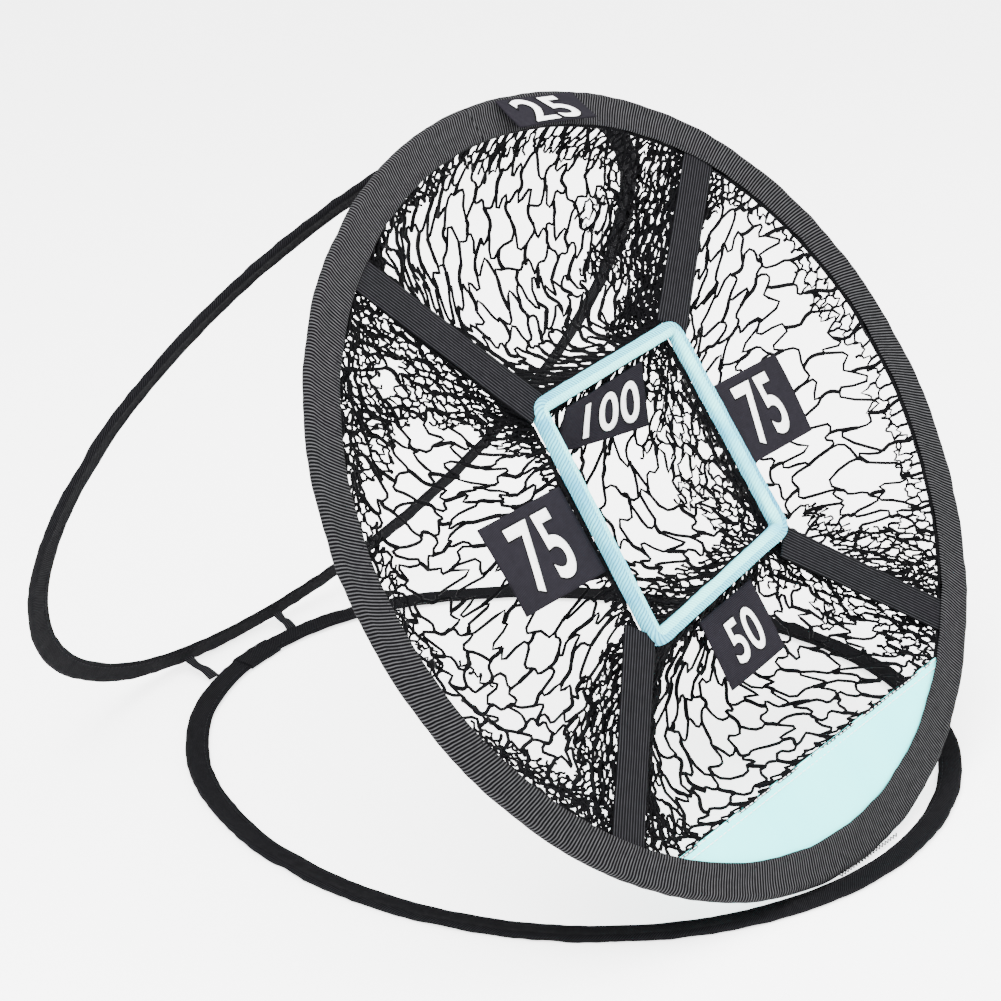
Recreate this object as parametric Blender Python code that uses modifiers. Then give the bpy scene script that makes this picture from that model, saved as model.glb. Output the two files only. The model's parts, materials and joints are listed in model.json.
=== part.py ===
"""Golf chipping net: three spring hoops folded out into a leaning target with five net pockets.

The front hoop is the target. The base hoop lies on the floor and the back hoop props the target
up. World frame: x to the right, y to the back, z up, metres. The floor is z = 0.
"""

from math import asin, cos, pi, radians, sin

import bmesh
import bpy
from mathutils import Vector

# Driving dimensions, in metres and degrees
TARGET_LEAN = 52.7            # angle between the target and the floor
GAP = 0.0004                  # clearance left between pieces that touch
CLOTH = 0.0011                # thickness of one layer of binding tape
FLAT_CLOTH = 0.0016           # webbing, tags and the front panel
NET_CLOTH = 0.0016            # solid that stands in for the netting

WIRE_RADIUS = 0.0010          # 2 mm spring steel
FERRULE_BORE = 0.00135
FERRULE_WALL = 0.00035
FERRULE_LENGTH = 0.016

TAPE_WIDTH, TAPE_THICK = 0.026, 0.0070        # binding round the target hoop
SLEEVE_WIDTH, SLEEVE_THICK = 0.018, 0.0060    # sleeves of the base and back hoops
FRAME_WIDTH, FRAME_THICK = 0.013, 0.0110      # padded sleeve of the square frame
STRAP_WIDTH = 0.027
HOOP_SEGMENTS = 60
JOIN_INSET = 0.0015           # a sleeve's sewn overlap stops short of the sleeve's edges
FRAME_CORNER_STEPS = 4
# Where each wire's ends meet in its ferrule, and where each sleeve's ends overlap, in segments from the hoop's top
FERRULE_AT = {"target": 14, "base": 29, "back": 16}
JOIN_AT = {"base": 58, "back": 12}

# Each hoop's centre line: r = mean + two cos 2t + three cos 3t + skew sin 2t, with t from the hoop's top
TARGET_HOOP = {"mean": 0.2920, "two": -0.0050, "three": -0.0020, "skew": 0.0062}
BASE_HOOP = {"mean": 0.2740, "two": 0.0150, "three": 0.0033, "skew": -0.0073}
BACK_HOOP = {"mean": 0.2760, "two": -0.0235, "three": 0.0023, "skew": 0.0138}

TARGET_FOOT = (-0.0001, -0.2890, 0.005)   # the target's lower edge, which puts the origin under the middle
BASE_AHEAD = 0.015            # the base hoop's centre line in front of the target's lower edge
BACK_FOOT_HEIGHT = 0.0098     # the back hoop's centre line where it stands on the floor
TOP_SEAM_DROP = 0.012         # the back hoop's top below the target's top edge
TOP_SEAM_BEHIND = 0.0153      # and behind the target's middle plane
FRONT_HINGE = (0.006, 0.003)  # the line that the base hoop folds about, behind and above that edge
FRONT_SEAM_SHARE = 0.62       # how far from the base sleeve to the target's binding the thread lies
TOP_SEAM_IN = 0.0037          # the top seam's thread below the target's top edge
TOP_SEAM_OFF = Vector((0, 0, 0.0056))     # and behind the target's middle plane
TIES_X = (-0.089, 0.012)      # the two rear ties
TIE_WIDTH = 0.010

# The square frame's centre line in the target's plane: it hangs a little out of square
FRAME_CORNERS = {"upper_left": (-0.079, 0.084), "upper_right": (0.085, 0.096),
                 "lower_right": (0.085, -0.071), "lower_left": (-0.084, -0.096)}
FRAME_CORNER_RADIUS = 0.013
STRAP_ANGLES = {"upper_left": -37.5, "upper_right": 45.0, "lower_right": 133.6, "lower_left": -135.4}
# How far a strap's inner end lies from the frame's corner, sideways and up
STRAP_SHIFTS = {"upper_left": (0, 0), "upper_right": (0, 0), "lower_right": (-0.005, -0.009),
                "lower_left": (-0.0107, 0.0111)}
STRAP_FRAME_CLEAR = 0.0135    # a strap's end stops outside the frame's rounded corner
STRAP_HOOP_CLEAR = 0.0022     # and short of the binding, whose edge is curved
PANEL_CHORD = ((-0.179, -0.2295), (0.184, -0.2115))

# Tags: outer edge direction, size along and across the sewn edge, place of the sewn edge, tilt to the back
TAGS = {
    "tag_25": {"down": 180, "wide": 0.078, "tall": 0.030, "at": (0.066, 0.2890, 0.0058), "turn": -9, "tilt": -24},
    "tag_50": {"down": 180, "wide": 0.068, "tall": 0.056, "at": (0.001, -0.0960, -0.005), "turn": 7, "tilt": 7},
    "tag_75_left": {"down": 90, "wide": 0.067, "tall": 0.083, "at": (-0.0908, -0.004, -0.005), "turn": 1, "tilt": 4},
    "tag_75_right": {"down": -90, "wide": 0.064, "tall": 0.087, "at": (0.0930, 0.012, -0.005), "turn": 1, "tilt": 0},
    "tag_100": {"down": 180, "wide": 0.092, "tall": 0.050, "at": (-0.004, 0.0794, -0.0030), "turn": 4.5, "tilt": 34},
}

# Net pockets behind the target's plane: depth and how far the middle hangs down in the plane
POCKETS = {"top": (0.078, 0.010), "right": (0.080, 0.012), "bottom": (0.061, 0.008), "left": (0.060, 0.008)}
CENTRE_POCKET = (0.078, 0.012)
POCKET_FULLNESS = 0.7         # under 1 the bag's walls are steeper than a sine curve
POCKET_GRID = 10
POCKET_RIM_AT_FRAME = -0.0112
POCKET_RIM_AT_HOOP = -0.0046
POCKET_INSET = 0.16           # share of a frame bar left free at each end of a bag's inner edge
NET_OFF_FRAME, NET_OFF_TAPE, NET_OFF_STRAP = 0.0035, 0.0030, 0.0020
PANEL_OFF_TAPE = 0.0012
THREAD_RADIUS = 0.0007
FRONT_SEAM_HALF, TOP_SEAM_HALF = 0.036, 0.045

CHARCOAL = (0.030, 0.031, 0.035, 1)
TAG_GREY = (0.065, 0.063, 0.072, 1)
AQUA = (0.36, 0.76, 0.86, 1)
PALE_AQUA = (0.60, 0.93, 0.95, 1)
STEEL = (0.55, 0.56, 0.58, 1)


def clear_scene():
    for obj in list(bpy.data.objects):
        bpy.data.objects.remove(obj, do_unlink=True)
    parts = bpy.data.collections.new("golf_chipping_net")
    helpers = bpy.data.collections.new("helpers")
    helpers.hide_render = True
    for collection in (parts, helpers):
        bpy.context.scene.collection.children.link(collection)
    return parts, helpers


def material(name, colour, roughness, metallic=0.0):
    made = bpy.data.materials.new(name)
    made.use_nodes = True
    shader = made.node_tree.nodes["Principled BSDF"]
    shader.inputs["Base Color"].default_value = colour
    shader.inputs["Roughness"].default_value = roughness
    shader.inputs["Metallic"].default_value = metallic
    return made


def add_object(name, data, parent, finish=None, collection=None):
    obj = bpy.data.objects.new(name, data)
    (collection or PARTS).objects.link(obj)
    obj.parent = parent
    if finish:
        data.materials.append(finish)
    return obj


def add_empty(name, location, rotation=(0, 0, 0), parent=None):
    empty = add_object(name, None, parent)
    empty.location = location
    empty.rotation_euler = [radians(turn) for turn in rotation]
    return empty


def poly_curve(name, points, closed, parent, finish=None, collection=None):
    data = bpy.data.curves.new(name, "CURVE")
    data.dimensions = "3D"
    data.twist_mode = "Z_UP"
    spline = data.splines.new("POLY")
    spline.points.add(len(points) - 1)
    for point, place in zip(spline.points, points):
        point.co = (*place, 1)
    spline.use_cyclic_u = closed
    return add_object(name, data, parent, finish, collection)


def hoop_radius(hoop, t, outward=0.0):
    return hoop["mean"] + hoop["two"] * cos(2 * t) + hoop["three"] * cos(3 * t) + hoop["skew"] * sin(2 * t) + outward


def hoop_point(hoop, t, outward=0.0):
    r = hoop_radius(hoop, t, outward)
    return Vector((r * sin(t), r * cos(t), 0))


def hoop_points(hoop, outward=0.0):
    return [hoop_point(hoop, 2 * pi * k / HOOP_SEGMENTS, outward) for k in range(HOOP_SEGMENTS)]


def folded_tape_profile(name, width, thick):
    """A tape folded round a hoop, open by a slit along its inner edge. Its x points out of the hoop."""
    half, side, corner = width / 2, thick / 2, thick / 4
    slit = GAP
    outer = [(-half, slit), (-half, side), (half - corner, side), (half, corner)]
    inner = [(-half + CLOTH, slit), (-half + CLOTH, side - CLOTH), (half - corner, side - CLOTH),
             (half - CLOTH, corner)]
    outer += [(x, -y) for x, y in reversed(outer)]
    inner += [(x, -y) for x, y in reversed(inner)]
    profile = poly_curve(name, [(x, y, 0) for x, y in outer + inner[::-1]], True, None, None, HELPERS)
    profile.hide_render = True
    return profile


def swept(name, points, profile, closed, parent, finish):
    obj = poly_curve(name, points, closed, parent, finish)
    obj.data.bevel_mode = "OBJECT"
    obj.data.bevel_object = profile
    obj.data.use_fill_caps = not closed
    return obj


def wire(name, points, parent, finish):
    """A closed loop of wire. Its ends meet halfway along the first segment, inside the ferrule."""
    first, second = Vector(points[0]), Vector(points[1])
    middle = (first + second) / 2
    along = (second - first).normalized() * GAP
    obj = poly_curve(name, [middle + along, *points[1:], points[0], middle - along], False, parent, finish)
    obj.data.bevel_depth = WIRE_RADIUS
    obj.data.bevel_resolution = 1
    obj.data.use_fill_caps = True
    return middle, along


def ferrule(name, middle, along, parent, finish):
    """A crimp tube that joins the two ends of a wire."""
    mesh = bpy.data.meshes.new(name)
    bm = bmesh.new()
    bmesh.ops.create_cone(bm, segments=10, radius1=FERRULE_BORE, radius2=FERRULE_BORE, depth=FERRULE_LENGTH)
    bm.to_mesh(mesh)
    bm.free()
    obj = add_object(name, mesh, parent, finish)
    obj.location = middle
    obj.rotation_mode = "QUATERNION"
    obj.rotation_quaternion = Vector(along).to_track_quat("Z", "Y")
    wall = obj.modifiers.new("wall", "SOLIDIFY")
    wall.thickness = FERRULE_WALL
    wall.offset = 1
    return obj


def plate(name, outline, thick, parent, finish, centre_z=0.0):
    """A flat piece cut to a closed outline."""
    data = bpy.data.curves.new(name, "CURVE")
    data.dimensions = "2D"
    data.fill_mode = "BOTH"
    data.extrude = thick / 2
    spline = data.splines.new("POLY")
    spline.points.add(len(outline) - 1)
    for point, (x, y) in zip(spline.points, outline):
        point.co = (x, y, 0, 1)
    spline.use_cyclic_u = True
    obj = add_object(name, data, parent, finish)
    obj.location = (0, 0, centre_z)
    return obj


def add_hoop(prefix, hoop, parent, profile, wire_out, tape_finish):
    """A hoop of spring wire inside its folded cloth tube."""
    ferrule_at = FERRULE_AT[prefix]
    swept(f"{prefix}_{'tape' if prefix == 'target' else 'sleeve'}", hoop_points(hoop), profile, True, parent,
          tape_finish)
    points = hoop_points(hoop, wire_out)
    points = points[ferrule_at:] + points[:ferrule_at]
    middle, along = wire(f"{prefix}_spring_wire", points, parent, FINISHES["steel"])
    ferrule(f"{prefix}_wire_ferrule", middle, along, parent, FINISHES["steel"])


def sleeve_join(prefix, hoop, parent, finish):
    """The patch where the two ends of a sleeve overlap and are sewn down, on the sleeve's upper face."""
    turns = [2 * pi * (JOIN_AT[prefix] + k / 4) / HOOP_SEGMENTS for k in range(5)]
    half = SLEEVE_WIDTH / 2 - JOIN_INSET
    outline = [hoop_point(hoop, t, half).to_2d() for t in turns]
    outline += [hoop_point(hoop, t, -half).to_2d() for t in reversed(turns)]
    side = 1 if prefix == "base" else -1
    plate(f"{prefix}_sleeve_join", outline, CLOTH, parent, finish, side * (SLEEVE_THICK / 2 + CLOTH / 2 + GAP))


def offset_corners(distance):
    """The frame's corners moved out by this much, still joined by straight sides."""
    names = list(FRAME_CORNERS)
    moved = {}
    for index, name in enumerate(names):
        corner = Vector(FRAME_CORNERS[name])
        before = Vector(FRAME_CORNERS[names[index - 1]])
        after = Vector(FRAME_CORNERS[names[(index + 1) % len(names)]])
        first, second = (corner - before).normalized(), (after - corner).normalized()
        out_first, out_second = Vector((-first.y, first.x)), Vector((-second.y, second.x))
        bisector = (out_first + out_second).normalized()
        moved[name] = corner + bisector * distance / bisector.dot(out_first)
    return moved


def frame_path():
    """The frame's centre line, clockwise from its upper left corner, with rounded corners."""
    names = list(FRAME_CORNERS)
    path = []
    for index, name in enumerate(names):
        corner = Vector(FRAME_CORNERS[name])
        before = Vector(FRAME_CORNERS[names[index - 1]])
        after = Vector(FRAME_CORNERS[names[(index + 1) % len(names)]])
        start = corner + (before - corner).normalized() * FRAME_CORNER_RADIUS
        end = corner + (after - corner).normalized() * FRAME_CORNER_RADIUS
        for k in range(FRAME_CORNER_STEPS + 1):
            f = k / FRAME_CORNER_STEPS
            path.append((start * (1 - f) ** 2 + corner * 2 * f * (1 - f) + end * f ** 2).to_3d())
    return path


def add_frame(parent):
    profile = folded_tape_profile("frame_profile", FRAME_WIDTH, FRAME_THICK)
    path = frame_path()
    swept("square_frame_sleeve", path, profile, True, parent, FINISHES["aqua"])
    loop = path[FRAME_CORNER_STEPS:] + path[:FRAME_CORNER_STEPS]
    middle, along = wire("square_frame_wire", loop, parent, FINISHES["steel"])
    ferrule("square_frame_ferrule", middle, along, parent, FINISHES["steel"])


def strap_ends(name):
    """Where a strap meets the square frame's corner and the target hoop's binding."""
    corner = Vector(FRAME_CORNERS[name]) + Vector(STRAP_SHIFTS[name])
    t = radians(STRAP_ANGLES[name])
    outer = hoop_point(TARGET_HOOP, t, -TAPE_WIDTH / 2 - 2 * GAP).to_2d()
    along = (outer - corner).normalized()
    return corner + along * STRAP_FRAME_CLEAR, outer - along * STRAP_HOOP_CLEAR, along


def add_strap(name, parent):
    start, end, along = strap_ends(name)
    across = Vector((-along.y, along.x)) * STRAP_WIDTH / 2
    outline = [start - across, end - across, end + across, start + across]
    plate(f"strap_{name}", outline, FLAT_CLOTH, parent, FINISHES["webbing"])


def add_tag(name, parent):
    """A number tag in its own frame: the origin is on the sewn edge and -y runs down the tag."""
    spec = TAGS[name]
    pivot = add_empty(f"{name}_pivot", spec["at"], parent=parent)
    pivot.rotation_euler = (radians(spec["tilt"]), 0, radians(spec["down"] - 180 + spec["turn"]))
    half, tall = spec["wide"] / 2, spec["tall"]
    plate(name, [(-half, -tall), (half, -tall), (half, 0), (-half, 0)], FLAT_CLOTH, pivot, FINISHES["tag"])


def add_panel(parent):
    """The cloth segment that closes the bottom of the target."""
    left, right = (Vector(point) for point in PANEL_CHORD)
    edge = -TAPE_WIDTH / 2 - GAP - PANEL_OFF_TAPE
    arc = []
    for k in range(HOOP_SEGMENTS * 2):
        point = hoop_point(TARGET_HOOP, 2 * pi * k / (HOOP_SEGMENTS * 2), edge)
        if point.y < left.y + (right.y - left.y) * (point.x - left.x) / (right.x - left.x):
            arc.append(point.to_2d())
    plate("front_panel", arc, FLAT_CLOTH, parent, FINISHES["panel"])


def net_from_grid(name, place, parent):
    """A bag of netting as a thin shell, open at the mouth."""
    mesh = bpy.data.meshes.new(name)
    bm = bmesh.new()
    bmesh.ops.create_grid(bm, x_segments=POCKET_GRID, y_segments=POCKET_GRID, size=0.5)
    for vertex in bm.verts:
        vertex.co = place(vertex.co.x + 0.5, vertex.co.y + 0.5)
    bmesh.ops.recalc_face_normals(bm, faces=bm.faces)
    bm.to_mesh(mesh)
    bm.free()
    obj = add_object(name, mesh, parent, FINISHES["net"])
    skin = obj.modifiers.new("skin", "SOLIDIFY")
    skin.thickness = NET_CLOTH
    skin.offset = 0
    return obj


def bulge(f):
    """0 at both edges of a bag and 1 in its middle."""
    return max(0.0, sin(pi * f)) ** POCKET_FULLNESS


def add_sector_pocket(side, first, second, parent):
    """One of the four bags between two straps, from the square frame out to the binding."""
    depth, sag = POCKETS[side]
    frame_edge = offset_corners(FRAME_WIDTH / 2 + NET_OFF_FRAME)
    rim_out = -TAPE_WIDTH / 2 - NET_OFF_TAPE
    start = radians(STRAP_ANGLES[first])
    end = radians(STRAP_ANGLES[second])
    if end < start:
        end += 2 * pi
    margin = asin((STRAP_WIDTH / 2 + NET_OFF_STRAP) / TARGET_HOOP["mean"])
    chord_left, chord_right = (Vector(point) for point in PANEL_CHORD)

    def place(s, f):
        t = start + margin + (end - start - 2 * margin) * s
        outer = hoop_point(TARGET_HOOP, t, rim_out).to_2d()
        if side == "bottom":
            share = (outer.x - chord_left.x) / (chord_right.x - chord_left.x)
            chord_y = chord_left.y + (chord_right.y - chord_left.y) * share + NET_OFF_TAPE
            outer.y = max(outer.y, chord_y)
        a, b = frame_edge[first], frame_edge[second]
        inner = a.lerp(b, POCKET_INSET + (1 - 2 * POCKET_INSET) * s)
        at = inner.lerp(outer, f)
        rim = POCKET_RIM_AT_FRAME + (POCKET_RIM_AT_HOOP - POCKET_RIM_AT_FRAME) * f
        swell = bulge(s) * bulge(f)
        return Vector((at.x, at.y - sag * swell, rim - depth * swell))

    net_from_grid(f"net_pocket_{side}", place, parent)


def add_centre_pocket(parent):
    depth, sag = CENTRE_POCKET
    corners = offset_corners(-FRAME_WIDTH / 2 - NET_OFF_FRAME)

    def place(s, f):
        top = corners["upper_left"].lerp(corners["upper_right"], s)
        bottom = corners["lower_left"].lerp(corners["lower_right"], s)
        at = bottom.lerp(top, f)
        swell = bulge(s) * bulge(f)
        return Vector((at.x, at.y - sag * swell, POCKET_RIM_AT_FRAME - depth * swell))

    net_from_grid("net_pocket_centre", place, parent)


def seam_thread(name, points, parent):
    obj = poly_curve(name, points, False, parent, FINISHES["thread"])
    obj.data.bevel_depth = THREAD_RADIUS
    obj.data.bevel_resolution = 1
    obj.data.use_fill_caps = True


def hoop_point_at(hoop, x, near, outward=0.0):
    """The point of a hoop with this x, on the side of the hoop where t is near the angle given."""
    t = near
    for _ in range(8):
        t += (x - hoop_point(hoop, t, outward).x) / (hoop_radius(hoop, t, outward) * cos(t))
    return hoop_point(hoop, t, outward)


def add_tie(name, x, base_plane, back_plane):
    """A short strip of webbing from the back of the base hoop to the foot of the back hoop."""
    start = base_plane @ hoop_point_at(BASE_HOOP, x, 0, SLEEVE_WIDTH / 2 + 3 * GAP)
    foot = hoop_point_at(BACK_HOOP, x, pi)
    foot.z += SLEEVE_THICK / 2 + FLAT_CLOTH / 2 + 2 * GAP
    run = back_plane @ foot - start
    half = TIE_WIDTH / 2
    outline = [(-half, GAP), (half, GAP), (half, run.length), (-half, run.length)]
    tie = plate(name, outline, FLAT_CLOTH, None, FINISHES["webbing"])
    tie.location = start
    tie.rotation_mode = "QUATERNION"
    tie.rotation_quaternion = run.to_track_quat("Y", "Z")


def add_seam(name, half_length, place):
    """Thread along a seam that joins two hoops. place gives its point for an x."""
    points = [place(half_length * k / 3) for k in range(-3, 4)]
    seam_thread(name, points, None)


def build():
    lean = radians(TARGET_LEAN)
    up = Vector((0, cos(lean), sin(lean)))
    behind = Vector((0, sin(lean), -cos(lean)))
    half_tape = TAPE_WIDTH / 2
    below = hoop_radius(TARGET_HOOP, pi) + half_tape
    above = hoop_radius(TARGET_HOOP, 0) + half_tape
    foot = Vector(TARGET_FOOT)
    centre = foot + up * below
    target = add_empty("target_plane", centre, (TARGET_LEAN, 0, 0))

    tape = folded_tape_profile("tape_profile", TAPE_WIDTH, TAPE_THICK)
    sleeve = folded_tape_profile("sleeve_profile", SLEEVE_WIDTH, SLEEVE_THICK)
    add_hoop("target", TARGET_HOOP, target, tape, half_tape - TAPE_THICK / 2, FINISHES["tape"])
    add_frame(target)
    for name in FRAME_CORNERS:
        add_strap(name, target)
    for name in TAGS:
        add_tag(name, target)
    add_panel(target)
    around = list(FRAME_CORNERS)
    for side, first in zip(POCKETS, around):
        add_sector_pocket(side, first, around[(around.index(first) + 1) % len(around)], target)
    add_centre_pocket(target)

    wire_out = SLEEVE_WIDTH / 2 - SLEEVE_THICK / 2
    base_hinge = foot + Vector((0, *FRONT_HINGE))
    base = add_empty("base_hinge", base_hinge)
    base_centre = Vector((foot.x, foot.y - BASE_AHEAD + hoop_radius(BASE_HOOP, pi), SLEEVE_THICK / 2))
    base_plane = add_empty("base_plane", base_centre - base_hinge, parent=base)
    add_hoop("base", BASE_HOOP, base_plane, sleeve, wire_out, FINISHES["sleeve"])
    sleeve_join("base", BASE_HOOP, base_plane, FINISHES["sleeve"])

    back_top = centre + up * (above - TOP_SEAM_DROP) + behind * TOP_SEAM_BEHIND
    lowest = min(hoop_point(BACK_HOOP, 2 * pi * k / HOOP_SEGMENTS).y for k in range(HOOP_SEGMENTS))
    reach = hoop_radius(BACK_HOOP, 0) - lowest
    slope = asin((back_top.z - BACK_FOOT_HEIGHT) / reach)
    back_up = Vector((0, -cos(slope), sin(slope)))
    back_hinge = back_top + back_up * SLEEVE_WIDTH / 2
    back = add_empty("back_hinge", back_hinge)
    back_centre = back_top - back_up * hoop_radius(BACK_HOOP, 0)
    back_plane = add_empty("back_plane", back_centre - back_hinge, (180 - slope * 180 / pi, 0, 0), back)
    add_hoop("back", BACK_HOOP, back_plane, sleeve, wire_out, FINISHES["sleeve"])
    sleeve_join("back", BACK_HOOP, back_plane, FINISHES["sleeve"])
    bpy.context.view_layer.update()
    target_world, base_world, back_world = (plane.matrix_world for plane in (target, base_plane, back_plane))
    for name, x in zip(("rear_tie_left", "rear_tie_right"), TIES_X):
        add_tie(name, x, base_world, back_world)
    def front_seam(x):
        base_edge = base_world @ hoop_point_at(BASE_HOOP, x, pi, -SLEEVE_WIDTH / 2)
        target_edge = target_world @ hoop_point_at(TARGET_HOOP, x, pi, half_tape)
        return base_edge.lerp(target_edge, FRONT_SEAM_SHARE)

    def top_seam(x):
        return target_world @ (hoop_point_at(TARGET_HOOP, x, 0, half_tape - TOP_SEAM_IN) - TOP_SEAM_OFF)

    add_seam("front_seam_thread", FRONT_SEAM_HALF, front_seam)
    add_seam("top_seam_thread", TOP_SEAM_HALF, top_seam)
    for empty in [base, back] + [obj for obj in PARTS.objects if obj.name.endswith("_pivot")]:
        place = empty.matrix_world
        print(empty.name, [round(v, 5) for v in place.translation], [round(v, 5) for v in place.col[0][:3]])


PARTS, HELPERS = clear_scene()
FINISHES = {
    "tape": material("ribbed_tape", CHARCOAL, 0.85),
    "sleeve": material("sleeve_cloth", CHARCOAL, 0.85),
    "webbing": material("strap_webbing", CHARCOAL, 0.80),
    "tag": material("tag_cloth", TAG_GREY, 0.80),
    "net": material("net_cord", CHARCOAL, 0.85),
    "aqua": material("aqua_padding", AQUA, 0.80),
    "panel": material("aqua_cloth", PALE_AQUA, 0.70),
    "thread": material("seam_thread", CHARCOAL, 0.85),
    "steel": material("spring_steel", STEEL, 0.35, 1.0),
}
build()
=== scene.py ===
# %% [markdown]
# # A folding golf chipping net
# The real net is three hoops of spring steel, each inside a cloth sleeve. The largest hoop is the
# target: it carries a padded square frame on four straps, five bags of netting and five number tags.
# A CAD model of it is already packed. Here it is loaded as a fixed frame, and each cloth or cord
# piece is made again with the folds, weave and stitches that the plain solids lack.

# %% Load the frame
import json
import random
from math import asin, cos, pi, radians, sin

import bmesh
import bpy
from mathutils import Matrix, Vector, noise


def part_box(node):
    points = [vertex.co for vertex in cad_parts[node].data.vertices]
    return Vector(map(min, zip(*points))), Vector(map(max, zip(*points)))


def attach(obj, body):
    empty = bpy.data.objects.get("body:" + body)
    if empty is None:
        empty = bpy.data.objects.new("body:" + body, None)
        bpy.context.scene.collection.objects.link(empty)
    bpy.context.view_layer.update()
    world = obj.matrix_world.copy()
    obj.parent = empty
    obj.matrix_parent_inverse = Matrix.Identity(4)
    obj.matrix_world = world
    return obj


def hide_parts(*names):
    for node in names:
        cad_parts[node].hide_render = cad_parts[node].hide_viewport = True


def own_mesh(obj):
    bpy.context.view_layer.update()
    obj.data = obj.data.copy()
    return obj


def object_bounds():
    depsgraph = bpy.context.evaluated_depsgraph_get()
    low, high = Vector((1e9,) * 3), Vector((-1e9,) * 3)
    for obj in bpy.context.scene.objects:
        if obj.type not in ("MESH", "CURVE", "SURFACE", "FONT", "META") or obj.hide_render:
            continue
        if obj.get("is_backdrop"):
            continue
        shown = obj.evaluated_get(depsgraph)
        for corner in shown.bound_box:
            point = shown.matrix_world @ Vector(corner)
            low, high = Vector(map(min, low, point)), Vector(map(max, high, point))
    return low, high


noise.seed_set(7)             # without this, noise_vector takes its offsets from the clock
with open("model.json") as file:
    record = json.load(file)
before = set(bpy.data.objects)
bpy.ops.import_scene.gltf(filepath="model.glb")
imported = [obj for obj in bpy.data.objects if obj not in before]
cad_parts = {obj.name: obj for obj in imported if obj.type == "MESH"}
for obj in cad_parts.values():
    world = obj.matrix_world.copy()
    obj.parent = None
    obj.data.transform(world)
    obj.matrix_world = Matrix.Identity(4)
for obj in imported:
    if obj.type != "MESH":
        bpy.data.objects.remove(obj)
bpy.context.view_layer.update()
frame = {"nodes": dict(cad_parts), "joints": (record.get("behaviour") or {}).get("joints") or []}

# %% [markdown]
# ## The hoops and their planes
# A cloth hoop on sprung wire is never a true circle. One short formula gives the radius at each
# angle: a mean, an oval part, a three-sided part and a skew. Each hoop lies in its own plane, held as
# a matrix, so that a piece can be drawn flat and then carried into place.

# %% Hoop shapes
TARGET_HOOP = {"mean": 0.2920, "two": -0.0050, "three": -0.0020, "skew": 0.0062}
BASE_HOOP = {"mean": 0.2740, "two": 0.0150, "three": 0.0033, "skew": -0.0073}
BACK_HOOP = {"mean": 0.2760, "two": -0.0235, "three": 0.0023, "skew": 0.0138}
TAPE_WIDTH = 0.026            # the target's binding
SLEEVE_THICK = 0.006


def hoop_radius(hoop, t):
    return hoop["mean"] + hoop["two"] * cos(2 * t) + hoop["three"] * cos(3 * t) + hoop["skew"] * sin(2 * t)


def hoop_point(hoop, t, outward=0.0):
    """A point of a hoop's centre line. t runs clockwise from the hoop's top."""
    radius = hoop_radius(hoop, t) + outward
    return Vector((radius * sin(t), radius * cos(t), 0))


# %% Hoop planes
TARGET_LEAN = radians(52.7)
TARGET_FOOT = Vector((-0.0001, -0.2890, 0.005))
BASE_AHEAD = 0.015            # the base hoop's line in front of the target's lower edge
BACK_FOOT_HEIGHT = 0.0098
TOP_SEAM_DROP, TOP_SEAM_BEHIND = 0.012, 0.0153

target_up = Vector((0, cos(TARGET_LEAN), sin(TARGET_LEAN)))
target_behind = Vector((0, sin(TARGET_LEAN), -cos(TARGET_LEAN)))
target_centre = TARGET_FOOT + target_up * (hoop_radius(TARGET_HOOP, pi) + TAPE_WIDTH / 2)
TARGET = Matrix.Translation(target_centre) @ Matrix.Rotation(TARGET_LEAN, 4, "X")

base_front = TARGET_FOOT.y - BASE_AHEAD
base_centre = Vector((TARGET_FOOT.x, base_front + hoop_radius(BASE_HOOP, pi), SLEEVE_THICK / 2))
BASE = Matrix.Translation(base_centre)

back_top = target_centre + target_behind * TOP_SEAM_BEHIND
back_top += target_up * (hoop_radius(TARGET_HOOP, 0) + TAPE_WIDTH / 2 - TOP_SEAM_DROP)
back_lowest = min(hoop_point(BACK_HOOP, radians(6 * k)).y for k in range(60))
back_reach = hoop_radius(BACK_HOOP, 0) - back_lowest
back_slope = asin((back_top.z - BACK_FOOT_HEIGHT) / back_reach)
back_up = Vector((0, -cos(back_slope), sin(back_slope)))
back_centre = back_top - back_up * hoop_radius(BACK_HOOP, 0)
BACK = Matrix.Translation(back_centre) @ Matrix.Rotation(pi - back_slope, 4, "X")

# %% [markdown]
# ## Camera, floor and light
# The camera stands low to the left and looks along the net with a long lens. Its shift slides the
# picture without turning the camera. Three large lamps and a bright sky give soft studio light, and
# the pale floor gives off light of its own, so that it comes out nearly white.

# %% Camera
LOOK_AT = TARGET_FOOT + Vector((0, 0.22875, 0.1800))
CAMERA_AZIMUTH, CAMERA_ELEVATION = radians(-51.93), radians(24.86)
CAMERA_DISTANCE = 2.135
LENS = 105.8
SHIFT = (-0.1125, 0.0394)


def direction(azimuth, elevation):
    """From the object towards a camera or lamp. Azimuth 0 stands in front, at -Y."""
    return Vector((sin(azimuth) * cos(elevation), -cos(azimuth) * cos(elevation), sin(elevation)))


back_vector = direction(CAMERA_AZIMUTH, CAMERA_ELEVATION)
camera = bpy.data.objects.new("camera", bpy.data.cameras.new("camera"))
bpy.context.scene.collection.objects.link(camera)
camera.location = LOOK_AT + back_vector * CAMERA_DISTANCE
camera.rotation_mode = "QUATERNION"
camera.rotation_quaternion = (-back_vector).to_track_quat("-Z", "Y")
camera.data.lens = LENS
camera.data.shift_x, camera.data.shift_y = SHIFT
bpy.context.scene.camera = camera


# %% Lamps and sky
# azimuth and elevation in degrees, distance and size in metres, and watts
LAMPS = {
    "key_lamp": (-75, 50, 2.2, 1.4, 120),
    "fill_lamp": (40, 40, 2.4, 1.8, 60),
    "top_lamp": (0, 88, 2.2, 2.0, 75),
}
SKY_STRENGTH = 2.3


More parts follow.
